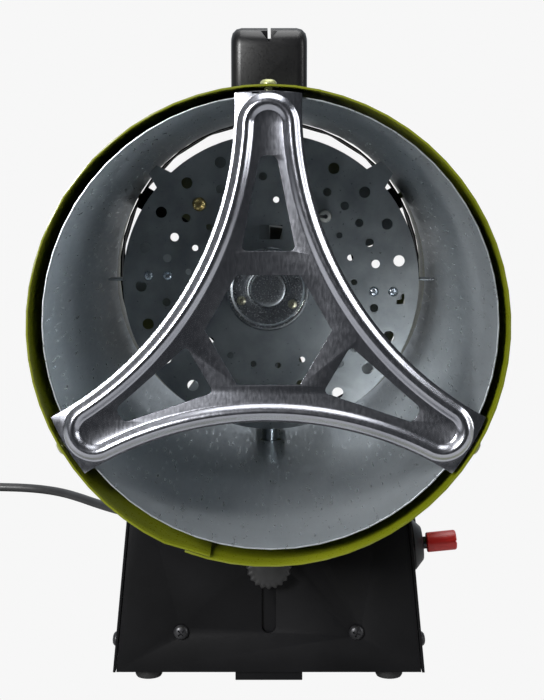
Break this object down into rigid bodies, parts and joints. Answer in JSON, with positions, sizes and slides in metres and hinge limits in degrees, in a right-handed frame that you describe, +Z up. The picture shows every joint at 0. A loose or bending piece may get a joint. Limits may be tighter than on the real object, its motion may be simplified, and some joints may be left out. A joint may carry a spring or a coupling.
{
  "type": "portable gas heater",
  "caption": "Portable forced-air gas heater: painted tube with a galvanised liner, perforated baffle, star-shaped outlet guard and rear fan, on a sheet-metal base with an adjustable leg.",
  "frame": {"origin": "on the floor under the middle of the heater, cord left out", "axes": "+Z up, -Y is the way the hot air leaves, +X is to the right when looking into the outlet"},
  "size_m": [0.4144, 0.4524, 0.2962],
  "materials": {
    "olive_paint": "semi-gloss olive-green stove enamel on rolled sheet",
    "galvanised": "galvanised sheet, satin",
    "bright_guard": "bright pressed galvanised sheet",
    "painted_screws": "zinc screws with overspray",
    "zinc_steel": "zinc-plated",
    "black_screws": "black zinc",
    "black_powder": "fine-texture black powder coat",
    "motor_enamel": "satin enamel",
    "brass": "machined",
    "white_ceramic": "glazed",
    "red_plastic": "satin moulded",
    "black_plastic": "moulded, lightly textured",
    "black_rubber": "matt",
    "cord_rubber": "satin rubber sheath"
  },
  "bodies": {
    "heater": {"outer_shell": "olive_paint", "inner_liner": "galvanised", "baffle_disc": "galvanised", "strap_left": "galvanised", "strap_screw_left_1": "zinc_steel", "strap_screw_left_2": "zinc_steel", "strap_right": "galvanised", "strap_screw_right_1": "zinc_steel", "strap_screw_right_2": "zinc_steel", "burner_cup": "galvanised", "cup_screw_1": "zinc_steel", "cup_screw_2": "zinc_steel", "cup_screw_3": "zinc_steel", "jet_block": "brass", "spark_electrode": "white_ceramic", "spark_rod": "zinc_steel", "thermocouple": "brass", "outlet_guard": "bright_guard", "guard_screw_1": "painted_screws", "guard_screw_2": "painted_screws", "guard_screw_3": "painted_screws", "gas_pipe": "zinc_steel", "fan_motor": "motor_enamel", "rear_guard": "black_powder", "rear_screw_1": "painted_screws", "rear_screw_2": "painted_screws", "rear_screw_3": "painted_screws", "handle": "black_plastic", "base_front": "black_powder", "base_rear": "black_powder", "base_left": "black_powder", "side_screw_left_1": "black_screws", "side_screw_left_2": "black_screws", "base_right": "black_powder", "side_screw_right_1": "black_screws", "side_screw_right_2": "black_screws", "gas_valve": "brass", "valve_nut": "black_plastic", "piezo_igniter": "black_plastic", "base_floor": "black_powder", "front_screw_1": "black_screws", "front_screw_2": "black_screws", "foot_1": "black_rubber", "foot_2": "black_rubber", "foot_3": "black_rubber", "foot_4": "black_rubber", "leg_guide": "galvanised", "gas_inlet": "brass", "switch_frame": "black_plastic", "cord_gland": "cord_rubber", "mains_cord": "cord_rubber", "cord_coil": "cord_rubber", "plug": "cord_rubber"},
    "rotor": {"fan": "galvanised", "motor_shaft": "zinc_steel"},
    "leg": {"adjusting_leg": "black_powder"},
    "knob": {"leg_knob": "black_plastic"},
    "gas_button": {"valve_button": "red_plastic"},
    "igniter_button": {"piezo_button": "black_plastic"},
    "rocker": {"switch_rocker": "black_plastic"}
  },
  "joints": [
    {"name": "fan_spin", "type": "hinge", "parent": "heater", "child": "rotor", "pos_m": [0, 0.12005, 0.1657], "axis": [0, 1, 0], "continuous": true},
    {"name": "leg_slide", "type": "slide", "parent": "heater", "child": "leg", "axis": [0, 0, -1], "range_m": [0, 0.028]},
    {"name": "knob_turn", "type": "hinge", "parent": "leg", "child": "knob", "pos_m": [0, -0.11645, 0.0557], "axis": [0, -1, 0], "range_deg": [0, 360]},
    {"name": "gas_button_press", "type": "slide", "parent": "heater", "child": "gas_button", "axis": [-0.9949, 0, -0.1008], "range_m": [0, 0.005], "stiffness_N_per_m": 300, "springref_m": -0.003},
    {"name": "igniter_press", "type": "slide", "parent": "heater", "child": "igniter_button", "axis": [-0.9949, 0, -0.1008], "range_m": [0, 0.0045], "stiffness_N_per_m": 400, "springref_m": -0.003},
    {"name": "switch_rock", "type": "hinge", "parent": "heater", "child": "rocker", "pos_m": [0, 0.09805, 0.0375], "axis": [-1, 0, 0], "range_deg": [0, 16]}
  ]
}
